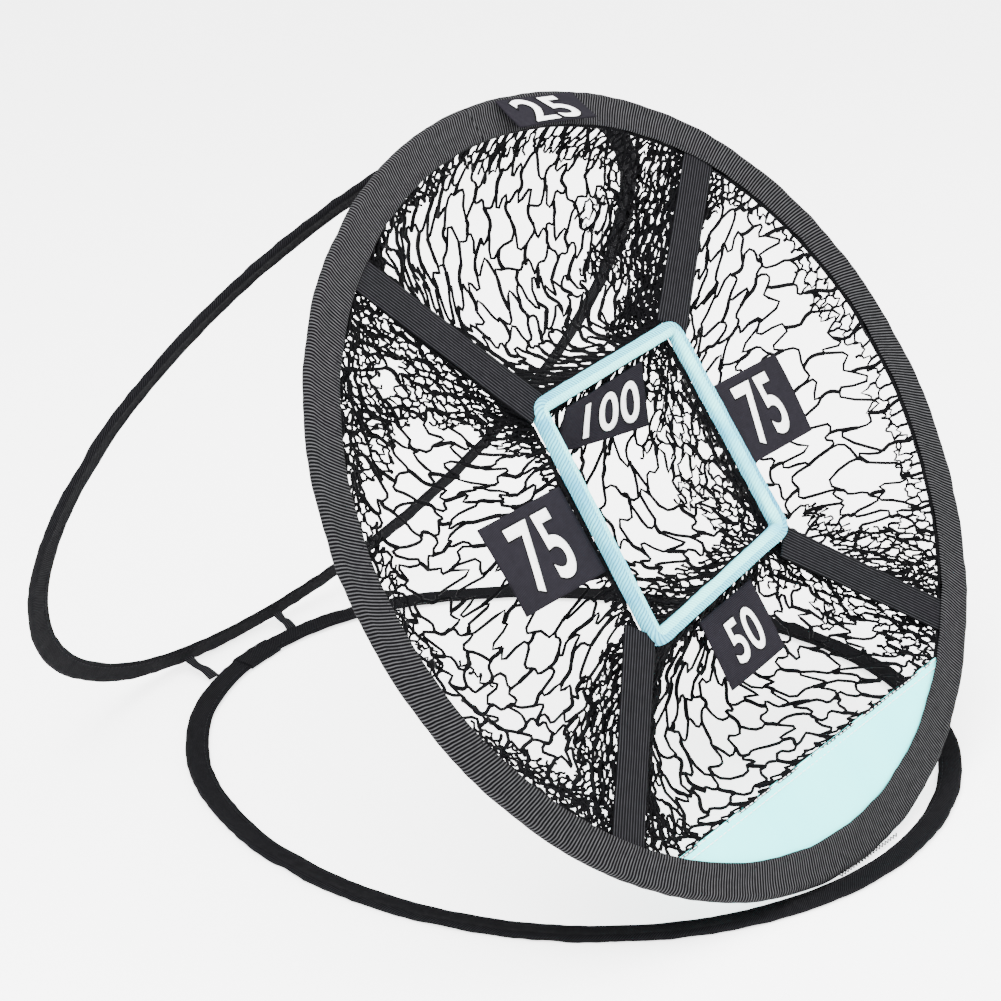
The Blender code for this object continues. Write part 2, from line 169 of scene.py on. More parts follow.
def add_lamp(name, azimuth, elevation, distance, size, watts):
    towards = direction(radians(azimuth), radians(elevation))
    lamp = bpy.data.objects.new(name, bpy.data.lights.new(name, "AREA"))
    lamp.data.size = size
    lamp.data.energy = watts
    lamp.location = LOOK_AT + towards * distance
    lamp.rotation_mode = "QUATERNION"
    lamp.rotation_quaternion = (-towards).to_track_quat("-Z", "Y")
    bpy.context.scene.collection.objects.link(lamp)


for lamp_name, lamp_setting in LAMPS.items():
    add_lamp(lamp_name, *lamp_setting)
sky = bpy.data.worlds.new("studio")
sky.use_nodes = True
sky.node_tree.nodes["Background"].inputs["Color"].default_value = (1, 1, 1, 1)
sky.node_tree.nodes["Background"].inputs["Strength"].default_value = SKY_STRENGTH
bpy.context.scene.world = sky

# %% [markdown]
# ## Finishes
# Every finish is a small network of texture nodes on a Principled shader. The meshes carry a UV map
# measured in metres, so that a rib pitch can be written down as it is on the cloth.

# %% Node helpers
UV_NAME = "metres"
WAVE_PERIOD = 0.31416         # a Wave texture of scale 1 repeats after this many units
CLOTH_GLOSS = 0.02            # loose fibres scatter light, so cloth and cord have hardly any gloss


def new_finish(name, roughness, metallic=0.0, sheen=0.0):
    """A material and its Principled shader, ready for textures."""
    finish = bpy.data.materials.new(name)
    finish.use_nodes = True
    shader = finish.node_tree.nodes["Principled BSDF"]
    shader.inputs["Roughness"].default_value = roughness
    shader.inputs["Metallic"].default_value = metallic
    shader.inputs["Sheen Weight"].default_value = sheen
    shader.inputs["Sheen Roughness"].default_value = 0.6
    shader.inputs["Specular IOR Level"].default_value = 0.5 if metallic else CLOTH_GLOSS
    return finish, shader


def add_node(finish, kind, inputs=(), **settings):
    node = finish.node_tree.nodes.new(kind)
    for key, value in settings.items():
        setattr(node, key, value)
    for key, value in dict(inputs).items():
        if isinstance(value, bpy.types.NodeSocket):
            finish.node_tree.links.new(value, node.inputs[key])
        else:
            node.inputs[key].default_value = value
    return node


def stripes(finish, pitch, turn=0.0, wander=0.0):
    """Ribs across the length of the cloth, turned by an angle, as a 0 to 1 wave."""
    uv = add_node(finish, "ShaderNodeUVMap", uv_map=UV_NAME)
    turned = add_node(finish, "ShaderNodeMapping", {"Vector": uv.outputs["UV"], "Rotation": (0, 0, turn)})
    wave = add_node(finish, "ShaderNodeTexWave",
                    {"Vector": turned.outputs["Vector"], "Scale": WAVE_PERIOD / pitch, "Distortion": wander,
                     "Detail Scale": 0.4})
    return wave.outputs["Fac"]


def blotches(finish, size, detail=3.0, uv=True):
    """Soft uneven patches of about this size."""
    if uv:
        place = add_node(finish, "ShaderNodeUVMap", uv_map=UV_NAME).outputs["UV"]
    else:
        place = add_node(finish, "ShaderNodeTexCoord").outputs["Object"]
    cloud = add_node(finish, "ShaderNodeTexNoise", {"Vector": place, "Scale": 1 / size, "Detail": detail})
    return cloud.outputs["Fac"]


def blend_colours(finish, amount, first, second):
    mix = add_node(finish, "ShaderNodeMix", data_type="RGBA")
    finish.node_tree.links.new(amount, mix.inputs[0])
    for socket, colour in ((mix.inputs[6], first), (mix.inputs[7], second)):
        if isinstance(colour, bpy.types.NodeSocket):
            finish.node_tree.links.new(colour, socket)
        else:
            socket.default_value = colour
    return mix.outputs[2]


def sharpen(finish, value, low, high):
    """Stretches the part of a texture between low and high to the range 0 to 1."""
    node = add_node(finish, "ShaderNodeMapRange", {"Value": value, "From Min": low, "From Max": high})
    return node.outputs["Result"]


def raise_by(finish, height, distance, strength=1.0, under=None):
    bump = add_node(finish, "ShaderNodeBump", {"Height": height, "Distance": distance, "Strength": strength})
    if under:
        finish.node_tree.links.new(under, bump.inputs["Normal"])
    return bump.outputs["Normal"]


def connect(finish, shader, colour=None, normal=None, roughness=None):
    for socket, source in (("Base Color", colour), ("Normal", normal), ("Roughness", roughness)):
        if source:
            finish.node_tree.links.new(source, shader.inputs[socket])
    return finish


# %% [markdown]
# ### Dark cloths
# The binding is a twill tape with slanting ribs about two millimetres apart. The sleeves are plain
# black cloth with a fine weave, the straps have ribs along their length, and the tags are a finer
# charcoal cloth. A wave texture gives the ribs, a second one the weave, and noise the uneven dye.

# %% Binding, sleeve, strap and tag cloths
def ribbed_cloth(name, dark, rib_highlight, pitch, turn, depth, weave=0.0008, sheen=0.0, roughness=0.85):
    """Cloth with main ribs and a finer weave across them. The tops of the ribs are painted paler, in
    blotches: a painted highlight.
    """
    finish, shader = new_finish(name, roughness, sheen=sheen)
    ribs = stripes(finish, pitch, turn, 0.25)
    picks = stripes(finish, weave, turn + pi / 2, 0.3)
    dye_and_shade = sharpen(finish, blotches(finish, 0.035), 0.3, 0.75)
    # painted highlight: the rib tops are painted paler, in blotches
    highlight_blotches = sharpen(finish, blotches(finish, 0.006, 5.0), 0.35, 0.8)
    base = blend_colours(finish, dye_and_shade, dark, [0.7 * c for c in dark[:3]] + [1])
    top = blend_colours(finish, highlight_blotches, rib_highlight, [0.6 * c for c in rib_highlight[:3]] + [1])
    colour = blend_colours(finish, sharpen(finish, ribs, 0.45, 1.05), base, top)
    fine = raise_by(finish, picks, 0.3 * depth, 0.5)
    return connect(finish, shader, colour, raise_by(finish, ribs, depth, 0.9, fine))


# the second colour of each cloth is the painted highlight on its rib tops
BINDING_CLOTH = ribbed_cloth("ribbed_binding_tape", (0.0020, 0.0020, 0.0024, 1), (0.060, 0.060, 0.063, 1),
                             0.0024, radians(18), 0.0007)
SLEEVE_CLOTH = ribbed_cloth("black_sleeve_cloth", (0.0018, 0.0018, 0.0022, 1), (0.012, 0.012, 0.0135, 1),
                            0.0014, radians(45), 0.0003, 0.0011)
STRAP_WEBBING = ribbed_cloth("ribbed_strap_webbing", (0.0030, 0.0030, 0.0036, 1), (0.026, 0.026, 0.029, 1),
                             0.0023, pi / 2, 0.0007)
TAG_CLOTH = ribbed_cloth("charcoal_tag_cloth", (0.0085, 0.0078, 0.0102, 1), (0.0165, 0.0152, 0.0195, 1),
                         0.0013, 0.0, 0.00025)

# %% [markdown]
# ### Aqua cloths, print, cord, thread and steel
# The square frame is covered in a ribbed aqua tape. Its flanks, the valleys between its ribs and patches
# along some of its bars are painted darker blue: painted shade.
# The front panel is a thin, very pale aqua cloth. The netting is black cord with hardly any gloss.


# %% Frame cover and panel cloth
FRAME_ROUND = 0.66            # the way round the frame, from its upper left corner clockwise
# share of that way, and how much darker blue painted shade the cover gets there: the left bar and the lower
# right corner get the most
FRAME_SHADE_BLUES = [(0.02, 0.9), (0.07, 0.25), (0.20, 0.2), (0.26, 0.5), (0.36, 0.7), (0.44, 1.0), (0.51, 1.0),
               (0.55, 0.2), (0.70, 0.2), (0.76, 0.8), (0.86, 0.9), (0.97, 0.9)]


def frame_cover():
    finish, shader = new_finish("aqua_frame_cover", 0.75, sheen=0.05)
    ribs = stripes(finish, 0.0023, radians(32), 0.3)
    uv = add_node(finish, "ShaderNodeUVMap", uv_map=UV_NAME)
    split = add_node(finish, "ShaderNodeSeparateXYZ", {"Vector": uv.outputs["UV"]})
    way = add_node(finish, "ShaderNodeMapRange", {"Value": split.outputs["X"], "From Max": FRAME_ROUND})
    # painted shade: how much darker blue is painted at each place round the frame
    dye_and_shade = add_node(finish, "ShaderNodeValToRGB", {"Fac": way.outputs["Result"]})
    for share, blue in FRAME_SHADE_BLUES:
        stop = dye_and_shade.color_ramp.elements.new(share)
        stop.color = (blue, blue, blue, 1)
    cloud = sharpen(finish, blotches(finish, 0.030, 5.0), 0.30, 0.72)
    # painted shade: blotches of darker blue along the bars
    shade_patches = add_node(finish, "ShaderNodeMath", {0: cloud, 1: dye_and_shade.outputs["Color"]},
                       operation="MULTIPLY").outputs[0]
    # painted shade: the flanks of the section are painted darker than the face
    side = add_node(finish, "ShaderNodeMapRange", {"Value": split.outputs["Y"], "From Min": 0.0060,
                                                   "From Max": 0.0095}, interpolation_type="SMOOTHSTEP")
    face = blend_colours(finish, shade_patches, (0.30, 0.97, 0.91, 1), (0.055, 0.48, 0.70, 1))
    shaded_flank = blend_colours(finish, shade_patches, (0.16, 0.70, 0.76, 1), (0.035, 0.30, 0.50, 1))
    cloth = blend_colours(finish, side.outputs["Result"], face, shaded_flank)
    # painted shade: the valleys between the ribs are painted dark blue, most of all on the flanks
    valley_shade = blend_colours(finish, sharpen(finish, ribs, 0.0, 0.55), (0.03, 0.20, 0.32, 1), cloth)
    shown = add_node(finish, "ShaderNodeMath", {0: side.outputs["Result"], 1: 0.40}, operation="MAXIMUM")
    colour = blend_colours(finish, shown.outputs[0], cloth, valley_shade)
    weave = raise_by(finish, stripes(finish, 0.0007, pi / 2), 0.0002, 0.4)
    return connect(finish, shader, colour, raise_by(finish, ribs, 0.0006, 0.9, weave))


def panel_cloth():
    finish, shader = new_finish("pale_aqua_cloth", 0.62, sheen=0.05)
    tint = sharpen(finish, blotches(finish, 0.07, 4.0), 0.35, 0.8)
    colour = blend_colours(finish, tint, (0.17, 0.98, 0.96, 1), (0.12, 0.90, 0.92, 1))
    weave = raise_by(finish, stripes(finish, 0.0006), 0.00008, 0.6)
    weave = raise_by(finish, stripes(finish, 0.0006, pi / 2), 0.00008, 0.6, weave)
    return connect(finish, shader, colour, weave)


FRAME_COVER = frame_cover()
PANEL_CLOTH = panel_cloth()


# %% Cord, thread, print and steel
def speckled(name, first, second, size, roughness, depth, metallic=0.0, sheen=0.0):
    """A finish mottled by noise that follows the object and not the UV map."""
    finish, shader = new_finish(name, roughness, metallic, sheen)
    grain = blotches(finish, size, 4.0, uv=False)
    colour = blend_colours(finish, sharpen(finish, grain, 0.3, 0.7), first, second)
    gloss = add_node(finish, "ShaderNodeMapRange", {"Value": grain, "To Min": roughness - 0.12,
                                                    "To Max": roughness + 0.12})
    return connect(finish, shader, colour, raise_by(finish, grain, depth, 0.7), gloss.outputs["Result"])


NET_CORD = speckled("black_net_cord", (0.0008, 0.0008, 0.0010, 1), (0.0045, 0.0045, 0.0052, 1),
                    0.0009, 0.6, 0.0004)
DARK_THREAD = speckled("dark_thread", (0.003, 0.003, 0.0035, 1), (0.016, 0.016, 0.018, 1),
                       0.0006, 0.6, 0.0002)
PALE_THREAD = speckled("pale_thread", (0.80, 0.88, 0.88, 1), (0.93, 0.96, 0.96, 1), 0.0006, 0.6, 0.0002)
WHITE_PRINT = speckled("white_print", (0.80, 0.80, 0.80, 1), (0.92, 0.92, 0.92, 1), 0.0012, 0.55, 0.00015)
BLACK_PRINT = speckled("black_print", (0.002, 0.002, 0.0022, 1), (0.005, 0.005, 0.0055, 1),
                       0.0012, 0.5, 0.00015)
SPRING_STEEL = speckled("spring_steel", (0.50, 0.51, 0.53, 1), (0.62, 0.63, 0.65, 1),
                        0.0015, 0.32, 0.00005, 1.0)
FLOOR_PAINT = speckled("pale_floor", (0.90, 0.90, 0.90, 1), (0.92, 0.92, 0.92, 1), 0.4, 0.8, 0.0001)
FLOOR_GLOW = 2.4
floor_shader = FLOOR_PAINT.node_tree.nodes["Principled BSDF"]
floor_shader.inputs["Emission Color"].default_value = (1, 1, 1, 1)
floor_shader.inputs["Emission Strength"].default_value = FLOOR_GLOW
print(len(bpy.data.materials), "materials")

# %% Floor
FLOOR_HALF = 40.0             # wide enough that no low view shows its end
floor_mesh = bpy.data.meshes.new("floor")
floor_builder = bmesh.new()
bmesh.ops.create_grid(floor_builder, x_segments=2, y_segments=2, size=FLOOR_HALF)
floor_builder.to_mesh(floor_mesh)
floor_builder.free()
floor = bpy.data.objects.new("floor", floor_mesh)
floor.location.z = -0.0005
floor_mesh.materials.append(FLOOR_PAINT)
bpy.context.scene.collection.objects.link(floor)
floor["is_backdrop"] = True

# %% [markdown]
# ## Ways to make a mesh
# Two helpers make nearly every piece. cloth_grid joins rows of points into one surface, as a tailor
# would lay out cloth, and writes the UV map in metres. tubes turns a list of runs into round cords
# with a bevelled curve, which is then made a mesh.


# %% Surface and cord helpers
def cloth_grid(name, rows, loop=False, tube=False):
    """Quads through rows of points. loop joins the last row to the first; tube closes each row."""
    height, width = len(rows), len(rows[0])
    row_count = height if loop else height - 1
    column_count = width if tube else width - 1
    along, across, middle = [0.0], [0.0], width // 2
    for r in range(row_count):
        along.append(along[-1] + (rows[(r + 1) % height][middle] - rows[r][middle]).length)
    for c in range(column_count):
        across.append(across[-1] + (rows[0][(c + 1) % width] - rows[0][c]).length)
    faces, uvs = [], []
    for r in range(row_count):
        for c in range(column_count):
            r_next, c_next = (r + 1) % height, (c + 1) % width
            faces.append((r * width + c, r_next * width + c, r_next * width + c_next, r * width + c_next))
            uvs += [along[r], across[c], along[r + 1], across[c]]
            uvs += [along[r + 1], across[c + 1], along[r], across[c + 1]]
    mesh = bpy.data.meshes.new(name)
    mesh.from_pydata([point for row in rows for point in row], [], faces)
    mesh.uv_layers.new(name=UV_NAME).data.foreach_set("uv", uvs)
    mesh.shade_smooth()
    return mesh


def surface_rows(row_steps, column_steps, place):
    """Rows of points for cloth_grid. place takes two shares, down the rows and along each row."""
    return [[place(k / row_steps, j / column_steps) for j in range(column_steps + 1)]
            for k in range(row_steps + 1)]


def tubes(name, runs, radius, sides=1):
    """One mesh of round cords. A run is a list of points, or of (point, thickness) pairs."""
    curve = bpy.data.curves.new(name, "CURVE")
    curve.dimensions = "3D"
    curve.bevel_depth = radius
    curve.bevel_resolution = sides
    curve.use_fill_caps = True
    for run in runs:
        spline = curve.splines.new("POLY")
        spline.points.add(len(run) - 1)
        for point, item in zip(spline.points, run):
            place, share = item if isinstance(item, tuple) else (item, 1.0)
            point.co = (*place, 1)
            point.radius = share
    guide = bpy.data.objects.new(name, curve)
    mesh = bpy.data.meshes.new_from_object(guide)
    bpy.data.objects.remove(guide)
    bpy.data.curves.remove(curve)
    mesh.shade_smooth()
    return mesh


def add_piece(name, mesh, body, finish, replaced=()):
    piece = bpy.data.objects.new(name, mesh)
    bpy.context.scene.collection.objects.link(piece)
    mesh.materials.clear()
    mesh.materials.append(finish)
    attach(piece, body)
    if replaced:
        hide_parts(*replaced)
    print(name, "has", len(mesh.polygons), "faces")
    return piece


def thicken(piece, thickness, offset=0.0):
    skin = piece.modifiers.new("thickness", "SOLIDIFY")
    skin.thickness = thickness
    skin.offset = offset
    skin.use_even_offset = True


# %% [markdown]
# ## The binding round the target
# A wide tape is folded over the spring wire, which lies in the fold, and the net's edge is sewn in
# between its two lips. So its section is a drop: round at the wire and flat towards the lips. The
# section is swept round the hoop with a little unevenness, and a Solidify modifier gives the cloth
# its thickness.


# %% Sweep along a hoop
def hoop_stations(plane, hoop, count, start=0.0, end=2 * pi):
    """Places round a hoop: (angle, point, direction out of the hoop, the plane's normal)."""
    stations = []
    for k in range(count):
        t = start + (end - start) * k / (count if end - start > 6.28 else count - 1)
        ahead = hoop_point(hoop, t + 0.01) - hoop_point(hoop, t - 0.01)
        outward = Vector((-ahead.y, ahead.x, 0)).normalized()
        turn = plane.to_3x3()
        stations.append((t, plane @ hoop_point(hoop, t), turn @ outward, turn @ Vector((0, 0, 1))))
    return stations


def arc(centre, radius, first, last, steps):
    """Points on an arc, as (out, up), between two angles in degrees."""
    turns = [radians(first + (last - first) * k / steps) for k in range(steps + 1)]
    return [(centre[0] + radius * cos(a), centre[1] + radius * sin(a)) for a in turns]


def sweep_section(stations, section, wave, seed, floor_height=None):
    """Rows of points. wave makes the cloth's width and height uneven by this many metres."""
    rows = []
    for t, point, outward, normal in stations:
        spot = Vector((9 * cos(t), 9 * sin(t), seed))
        wide = wave * noise.noise(spot)
        row = []
        for index, (out, up) in enumerate(section):
            pucker = wave * noise.noise(spot * 3.1 + Vector((0, 0, index * 0.35)))
            rise = up + (0.7 * pucker if up > 0 else -0.7 * pucker)
            place = point + outward * (out + wide + 0.4 * pucker) + normal * rise
            if floor_height is not None:
                place.z = max(place.z, floor_height)
            row.append(place)
        rows.append(row)
    return rows


# %% Binding piece
WIRE_OUT = 0.0095             # the wire lies this far outside the binding's centre line
LIP, FACE = 0.0014, 0.0023    # half the thickness at the lips and along the face
BINDING_STATIONS = 540

binding_front = [(-0.0130, LIP), (-0.0122, LIP + 0.0006), (-0.0095, FACE), (-0.0045, FACE), (0.0005, FACE),
                 (0.0045, FACE + 0.0003)]
binding_section = binding_front + arc((WIRE_OUT, 0), 0.0034, 112, -112, 10)
binding_section += [(out, -up) for out, up in reversed(binding_front)]
stations = hoop_stations(TARGET, TARGET_HOOP, BINDING_STATIONS)
binding_mesh = cloth_grid("target_binding", sweep_section(stations, binding_section, 0.0009, 3.7), loop=True)
binding = add_piece("target_binding", binding_mesh, "target", BINDING_CLOTH, ["target_tape"])
thicken(binding, 0.0009, 1.0)


# %% Stitches
# length of a stitch, gap to the next one and rise of its thread
BINDING_STITCH = (0.0032, 0.0016, 0.0004)
SLEEVE_STITCH = (0.0030, 0.0015, 0.0003)
HEM_STITCH = (0.0034, 0.0014, 0.0003)


def stitch_line(places, length, gap, lift, normal):
    """Short arched runs of thread along a line of points, all on the side that the normal shows."""
    runs, walked, start = [], 0.0, None
    for a, b in zip(places, places[1:]):
        step = (b - a).length
        if start is None and walked >= gap:
            start, walked = a, 0.0
        elif start is not None and walked >= length:
            middle = (start + a) / 2
            runs.append([start - normal * lift, middle + normal * lift, a - normal * lift])
            start, walked = None, 0.0
        walked += step
    return runs


def hoop_line(plane, hoop, out, up, count, start=0.0, end=2 * pi):
    rows = hoop_stations(plane, hoop, count, start, end)
    return [point + outward * out + normal * up for _, point, outward, normal in rows]


target_normal = TARGET.to_3x3() @ Vector((0, 0, 1))
seam_runs = []
for side in (1, -1):
    line = hoop_line(TARGET, TARGET_HOOP, -0.0096, side * (FACE + 0.0004), 3600)
    seam_runs += stitch_line(line, *BINDING_STITCH, target_normal * side)
add_piece("binding_stitches", tubes("binding_stitches", seam_runs, 0.00035), "target", DARK_THREAD)

# %% [markdown]
# ## The base and back sleeves
# These are narrower: a black sleeve with its wire along the outer edge, closed by a line of stitches
# near the inner one. The ends of each sleeve overlap, and a second layer of cloth is sewn over the
# join. On the real base, a loose tail of that cloth sticks out; it is not drawn.

# %% Sleeves
SLEEVE_WIRE_OUT = 0.0060
SLEEVE_STATIONS, SLEEVE_SEED = 420, 12.1
sleeve_front = [(-0.0086, 0.0009), (-0.0060, 0.0008), (-0.0030, 0.0014), (0.0010, 0.0018)]
sleeve_section = [(-0.0090, 0.0)] + sleeve_front + arc((SLEEVE_WIRE_OUT, 0), 0.0029, 115, -115, 8)
sleeve_section += [(out, -up) for out, up in reversed(sleeve_front)]
SLEEVES = {"base": (BASE, BASE_HOOP, "base_hoop", 0.0002), "back": (BACK, BACK_HOOP, "back_hoop", 0.0002)}


def add_sleeve(name):
    plane, hoop, body, lowest = SLEEVES[name]
    stations = hoop_stations(plane, hoop, SLEEVE_STATIONS)
    rows = sweep_section(stations, sleeve_section, 0.0010, SLEEVE_SEED, lowest)
    mesh = cloth_grid(f"{name}_sleeve_cloth", rows, loop=True, tube=True)
    add_piece(f"{name}_sleeve_cloth", mesh, body, SLEEVE_CLOTH, [f"{name}_sleeve"])
    runs, normal = [], plane.to_3x3() @ Vector((0, 0, 1))
    for side in (1, -1):
        line = hoop_line(plane, hoop, -0.0058, side * 0.0012, 3000)
        runs += stitch_line(line, *SLEEVE_STITCH, normal * side)
    runs = [run for run in runs if min(point.z for point in run) > 0.0006]
    piece_name = f"{name}_sleeve_stitches"
    add_piece(piece_name, tubes(piece_name, runs, 0.0003), body, DARK_THREAD)


for sleeve_name in SLEEVES:
    add_sleeve(sleeve_name)


# %% Sleeve joins
def add_join(name, first_turn, last_turn, replaced):
    """The second layer of cloth over the place where a sleeve's ends meet."""
    plane, hoop, body, lowest = SLEEVES[name]
    cuff = [(out * 1.06, up + (0.0007 if up > 0 else -0.0007)) for out, up in sleeve_section]
    rows = sweep_section(hoop_stations(plane, hoop, 28, first_turn, last_turn), cuff, 0.0012, 4.4, lowest)
    mesh = cloth_grid(f"{name}_join_cloth", rows, tube=True)
    piece = add_piece(f"{name}_join_cloth", mesh, body, SLEEVE_CLOTH, replaced)
    thicken(piece, 0.0005)


MINUTE = 2 * pi / 60          # turns are counted here as minutes on a clock face
add_join("base", 58 * MINUTE, 59.3 * MINUTE, ["base_sleeve_join"])
add_join("back", 12 * MINUTE, 13.2 * MINUTE, ["back_sleeve_join"])

# %% [markdown]
# ## The padded square frame
# Foam tape is wrapped round a square of wire and covered with ribbed aqua cloth. The corners are
# soft bends. The cover is a closed tube with a rounded oblong section that swells and thins along the
# bars, fullest at the lower right corner.

# %% Frame path
FRAME_CORNERS = {"upper_left": (-0.079, 0.084), "upper_right": (0.085, 0.096),
                 "lower_right": (0.085, -0.071), "lower_left": (-0.084, -0.096)}
CORNER_RADIUS = 0.0085
FRAME_HALF_WIDTH, FRAME_HALF_THICK = 0.0058, 0.0050
FRAME_SIDES = 28              # points round the cover's section


def frame_line(bar_steps=26, bend_steps=10):
    """The frame's centre line in the target's plane, clockwise, with round bends."""
    corners = [Vector(corner) for corner in FRAME_CORNERS.values()]
    line = []
    for index, corner in enumerate(corners):
        before, after = corners[index - 1], corners[(index + 1) % 4]
        start = corner + (before - corner).normalized() * CORNER_RADIUS
        end = corner + (after - corner).normalized() * CORNER_RADIUS
        for k in range(bend_steps + 1):
            f = k / bend_steps
            line.append(start * (1 - f) ** 2 + corner * 2 * f * (1 - f) + end * f ** 2)
        bar_end = after + (corner - after).normalized() * CORNER_RADIUS
        line += [end.lerp(bar_end, k / bar_steps) for k in range(1, bar_steps)]
    return line


# %% Frame cover piece
line = frame_line()
rows = []
fat_corner = Vector(FRAME_CORNERS["lower_right"])
for k, spot in enumerate(line):
    along = (line[(k + 1) % len(line)] - line[k - 1]).normalized()
    outward = Vector((-along.y, along.x))
    swell = 1 + 0.10 * noise.noise(Vector((spot.x, spot.y, 0.3)) * 26)
    swell += 0.10 * max(0.0, 1 - (spot - fat_corner).length / 0.055)
    row = []
    for j in range(FRAME_SIDES):
        a = 2 * pi * j / FRAME_SIDES + pi / 2
        c, s = cos(a), sin(a)
        wide = FRAME_HALF_WIDTH * abs(c) ** 0.55 * (1 if c > 0 else -1)
        high = FRAME_HALF_THICK * abs(s) ** 0.6 * (1 if s > 0 else -1)
        dent = 0.0004 * noise.noise(Vector((spot.x * 160, spot.y * 160, j * 0.4)))
        place = spot + outward * (wide * swell + dent)
        row.append(TARGET @ Vector((place.x, place.y, high * (0.94 + 0.06 * swell) + dent)))
    rows.append(row)
frame_mesh = cloth_grid("square_frame_cover", rows, loop=True, tube=True)
frame_piece = add_piece("square_frame_cover", frame_mesh, "target", FRAME_COVER,
                        ["square_frame_sleeve"])

# %% [markdown]
# ## Straps
# Four strips of ribbed webbing run from the frame's corners to the binding, where their ends are
# tucked between the lips and sewn. A strip is a grid with a slight crown and a little twist.

# %% Strap pieces
STRAP_ANGLES = {"upper_left": -37.5, "upper_right": 45.0, "lower_right": 133.6, "lower_left": -135.4}
STRAP_WIDTH, STRAP_THICK = 0.027, 0.0014
STRAP_ROWS, STRAP_COLUMNS = 60, 12
STRAP_AT_FRAME, STRAP_IN_BINDING = -0.0010, 0.0030
STRAP_SHIFT = {"lower_right": (-0.005, -0.009), "lower_left": (-0.0107, 0.0111)}


def strap_ends(name):
    """Where a strap meets the frame's corner and the binding, in the target's plane."""
    corner = Vector(FRAME_CORNERS[name]) + Vector(STRAP_SHIFT.get(name, (0, 0)))
    outer = hoop_point(TARGET_HOOP, radians(STRAP_ANGLES[name]), -TAPE_WIDTH / 2).to_2d()
    along = (outer - corner).normalized()
    return corner + along * STRAP_AT_FRAME, outer + along * STRAP_IN_BINDING, along


def add_strap(name):
    start, end, along = strap_ends(name)
    across = Vector((-along.y, along.x))

    def place(f, share):
        g = 2 * share - 1
        ripple = 0.0007 * noise.noise(Vector((f * 5, g, STRAP_ANGLES[name]))) * sin(pi * f)
        waist = 1 - 0.03 * sin(pi * f) ** 2
        spot = start.lerp(end, f) + across * (g * waist * STRAP_WIDTH / 2)
        return TARGET @ Vector((spot.x, spot.y, ripple + 0.0004 * (1 - g * g)))

    piece_name = f"webbing_strap_{name}"
    mesh = cloth_grid(piece_name, surface_rows(STRAP_ROWS, STRAP_COLUMNS, place))
    piece = add_piece(piece_name, mesh, "target", STRAP_WEBBING, [f"strap_{name}"])
    thicken(piece, STRAP_THICK)


for strap_name in FRAME_CORNERS:
    add_strap(strap_name)

# %% [markdown]
# ## Netting
# The netting is knotless cord: six-sided cells whose legs run together for a short way at each
# joint. More net is sewn in than an opening needs, so it bags out behind, and the rest is gathered
# along the seams, where it lies in a tangle of small crushed cells. A modifier could wrap one flat
# net, but then every cell would be alike. Here a honeycomb is drawn on a square, pushed about, and
# laid on the bag's surface leg by leg. A second, much finer one is kept only along the seams.

# %% Honeycomb
CORD_RADIUS, GATHER_RADIUS = 0.00118, 0.00092
JOINT_SHARE, BORDER_SHARE = 1.35, 1.4         # thickness of joints and border cords against a leg's
ZIGZAG = 0.24                                 # how far every second node is raised, in rows
NODE_STRAY = 0.26                             # how far a node strays from its place, in cells
COARSE_NOISE, FINE_NOISE, FINE_SHARE = 2.3, 9, 0.30
NET_STIR, GATHER_STIR = 0.075, 0.06           # how far noise pushes the net, as a share of the square
NET_POINTS, GATHER_POINTS = 6, 4              # points on each leg


def honeycomb(columns, rows_count):
    """Edges of a brick-wall honeycomb on a grid, as (node, node, kind)."""
    edges = []
    for j in range(rows_count + 1):
        for i in range(columns + 1):
            rim_row = j in (0, rows_count)
            if i < columns:
                edges.append(((i, j), (i + 1, j), "border" if rim_row else "leg"))
            if j < rows_count:
                if i in (0, columns):
                    edges.append(((i, j), (i, j + 1), "border"))
                elif (i + j) % 2 == 0:
                    edges.append(((i, j), (i, j + 1), "joint"))
    return edges


def node_spots(columns, rows_count, luck):
    """Where each node lies on the unit square. Border nodes keep their places."""
    spots = {}
    for j in range(rows_count + 1):
        for i in range(columns + 1):
            inside = 0 < i < columns and 0 < j < rows_count
            zigzag = ZIGZAG * (-1) ** (i + j) if inside else 0
            stray = (luck.uniform(-1, 1) * NODE_STRAY * inside, luck.uniform(-1, 1) * NODE_STRAY * inside)
            spots[i, j] = Vector(((i + stray[0]) / columns, (j + zigzag + stray[1]) / rows_count))
    return spots


# %% Runs of cord
def crowd(x, low, high):
    """Draws 0 to 1 towards its ends: 1 leaves an end alone, and larger powers crowd it."""
    return 1 - (1 - x ** low) ** high


def settle(place, spot, stir, seed, lift):
    """Pushes a spot of the square about with smooth noise, less near the seams, and lays it on the bag."""
    s, f = spot
    window = min(1.0, 7 * max(s * (1 - s), 0)) * min(1.0, 7 * max(f * (1 - f), 0))
    slide = noise.noise_vector(Vector((s * COARSE_NOISE, f * COARSE_NOISE, seed)))
    fine = noise.noise_vector(Vector((s * FINE_NOISE, f * FINE_NOISE, seed + 5)))
    s += window * stir * (slide.x + FINE_SHARE * fine.x)
    f += window * stir * (slide.y + FINE_SHARE * fine.y)
    crumple = window * (0.012 * slide.z + 0.010 * fine.z)
    return place(min(max(s, 0), 1), min(max(f, 0), 1), crumple + lift)


